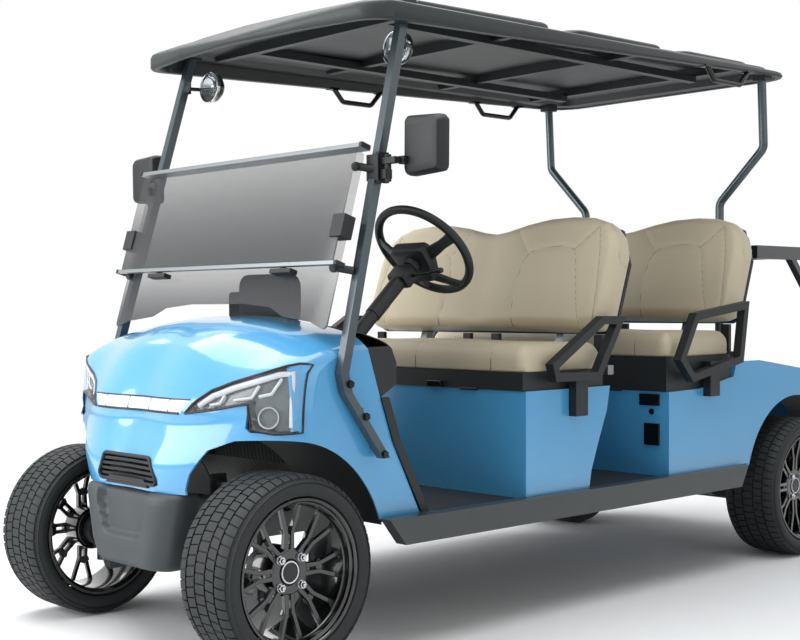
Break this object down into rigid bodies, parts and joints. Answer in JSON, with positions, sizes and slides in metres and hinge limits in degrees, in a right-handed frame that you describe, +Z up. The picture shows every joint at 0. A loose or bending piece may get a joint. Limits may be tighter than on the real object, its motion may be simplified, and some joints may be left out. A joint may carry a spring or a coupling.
{
  "type": "golf cart",
  "caption": "Open four-seat electric golf cart with two forward-facing benches, folding windscreen, long roof, bag well and spoked alloy wheels.",
  "frame": {"origin": "middle of the bounding box, on the ground", "axes": "+Z up, the cart's front points to -Y, +X is the driver's left"},
  "size_m": [1.444, 3.21, 1.85],
  "materials": {
    "body_blue": "gloss, coloured body panels",
    "frame_black": "satin black paint on steel",
    "trim_black": "grained black moulding",
    "gloss_black": "gloss black moulding",
    "bumper_grey": "matt dark grey moulding",
    "sill_grey": "satin dark grey",
    "alloy_black": "gloss black alloy",
    "bare_alloy": "satin extrusion",
    "tyre_rubber": "matt",
    "seat_vinyl": "stitched vinyl over foam",
    "pane": "tinted acrylic",
    "lens": "clear lamp lens",
    "lens_red": "red lamp lens",
    "steel_grey": "grey painted steel",
    "belt_black": "belt hardware",
    "battery": "battery case"
  },
  "bodies": {
    "cart": {"chassis_frame": "frame_black", "floor_pan": "trim_black", "sills": "sill_grey", "front_cowl": "body_blue", "headlamps": "lens", "lamp_bar": "lens", "lower_grille": "trim_black", "front_bumper": "bumper_grey", "wheel_liners": "trim_black", "dashboard": "trim_black", "leg_trims": "trim_black", "windscreen_panes": "pane", "windscreen_rails": "bare_alloy", "front_pillars": "frame_black", "rear_pillars": "frame_black", "roof": "trim_black", "roof_handles": "frame_black", "side_mirrors": "gloss_black", "pillar_lamps": "gloss_black", "front_seat_box": "body_blue", "rear_body": "body_blue", "bag_well": "trim_black", "bag_rack": "frame_black", "battery_pack": "battery", "rear_axle": "steel_grey", "rear_suspension": "steel_grey", "front_suspension": "steel_grey", "rack_housing": "steel_grey", "steering_column": "trim_black", "tail_lamps": "lens_red", "rear_bumper": "frame_black", "pedals": "frame_black", "backrests": "seat_vinyl", "backrest_shells": "trim_black", "seat_frames": "frame_black", "armrests": "trim_black", "seat_belts": "belt_black"},
    "steering_wheel": {"steering_wheel": "trim_black"},
    "steering_rack": {"steering_rack": "steel_grey"},
    "knuckle_left": {"knuckle_left": "steel_grey"},
    "knuckle_right": {"knuckle_right": "steel_grey"},
    "wheel_front_left": {"front_left_rim": "alloy_black", "front_left_tyre": "tyre_rubber"},
    "wheel_front_right": {"front_right_rim": "alloy_black", "front_right_tyre": "tyre_rubber"},
    "wheel_rear_left": {"rear_left_rim": "alloy_black", "rear_left_tyre": "tyre_rubber"},
    "wheel_rear_right": {"rear_right_rim": "alloy_black", "rear_right_tyre": "tyre_rubber"},
    "seat_front": {"front_seat_pan": "trim_black", "front_seat_cushion": "seat_vinyl"},
    "seat_rear": {"rear_seat_pan": "trim_black", "rear_seat_cushion": "seat_vinyl"}
  },
  "joints": [
    {"name": "steering_wheel_turn", "type": "hinge", "parent": "cart", "child": "steering_wheel", "pos_m": [0.265, -0.575, 1.127], "axis": [0, 0.7431, 0.6691], "range_deg": [-420, 420]},
    {"name": "knuckle_left_steer", "type": "hinge", "parent": "cart", "child": "knuckle_left", "pos_m": [0.388, -1.345, 0.26], "axis": [0, 0, 1], "range_deg": [-28, 28]},
    {"name": "knuckle_right_steer", "type": "hinge", "parent": "cart", "child": "knuckle_right", "pos_m": [-0.388, -1.345, 0.26], "axis": [0, 0, 1], "range_deg": [-28, 28]},
    {"name": "rack_slide", "type": "slide", "parent": "cart", "child": "steering_rack", "axis": [1, 0, 0], "range_m": [-0.05, 0.05]},
    {"name": "wheel_front_left_spin", "type": "hinge", "parent": "knuckle_left", "child": "wheel_front_left", "pos_m": [0.466, -1.345, 0.26], "axis": [1, 0, 0], "continuous": true},
    {"name": "wheel_front_right_spin", "type": "hinge", "parent": "knuckle_right", "child": "wheel_front_right", "pos_m": [-0.466, -1.345, 0.26], "axis": [1, 0, 0], "continuous": true},
    {"name": "wheel_rear_left_spin", "type": "hinge", "parent": "cart", "child": "wheel_rear_left", "pos_m": [0.514, 1.155, 0.26], "axis": [1, 0, 0], "continuous": true},
    {"name": "wheel_rear_right_spin", "type": "hinge", "parent": "cart", "child": "wheel_rear_right", "pos_m": [-0.514, 1.155, 0.26], "axis": [1, 0, 0], "continuous": true},
    {"name": "front_seat_tip", "type": "hinge", "parent": "cart", "child": "seat_front", "pos_m": [0, -0.44, 0.6923], "axis": [1, 0, 0], "range_deg": [0, 55]},
    {"name": "rear_seat_tip", "type": "hinge", "parent": "cart", "child": "seat_rear", "pos_m": [0, 0.318, 0.6549], "axis": [1, 0, 0], "range_deg": [0, 55]}
  ],
  "couplings": [
    {"joint": "knuckle_left_steer", "follows": "steering_wheel_turn", "ratio": 0.066667},
    {"joint": "knuckle_right_steer", "follows": "steering_wheel_turn", "ratio": 0.066667},
    {"joint": "rack_slide", "follows": "steering_wheel_turn", "m_per_rad": -0.006725}
  ]
}
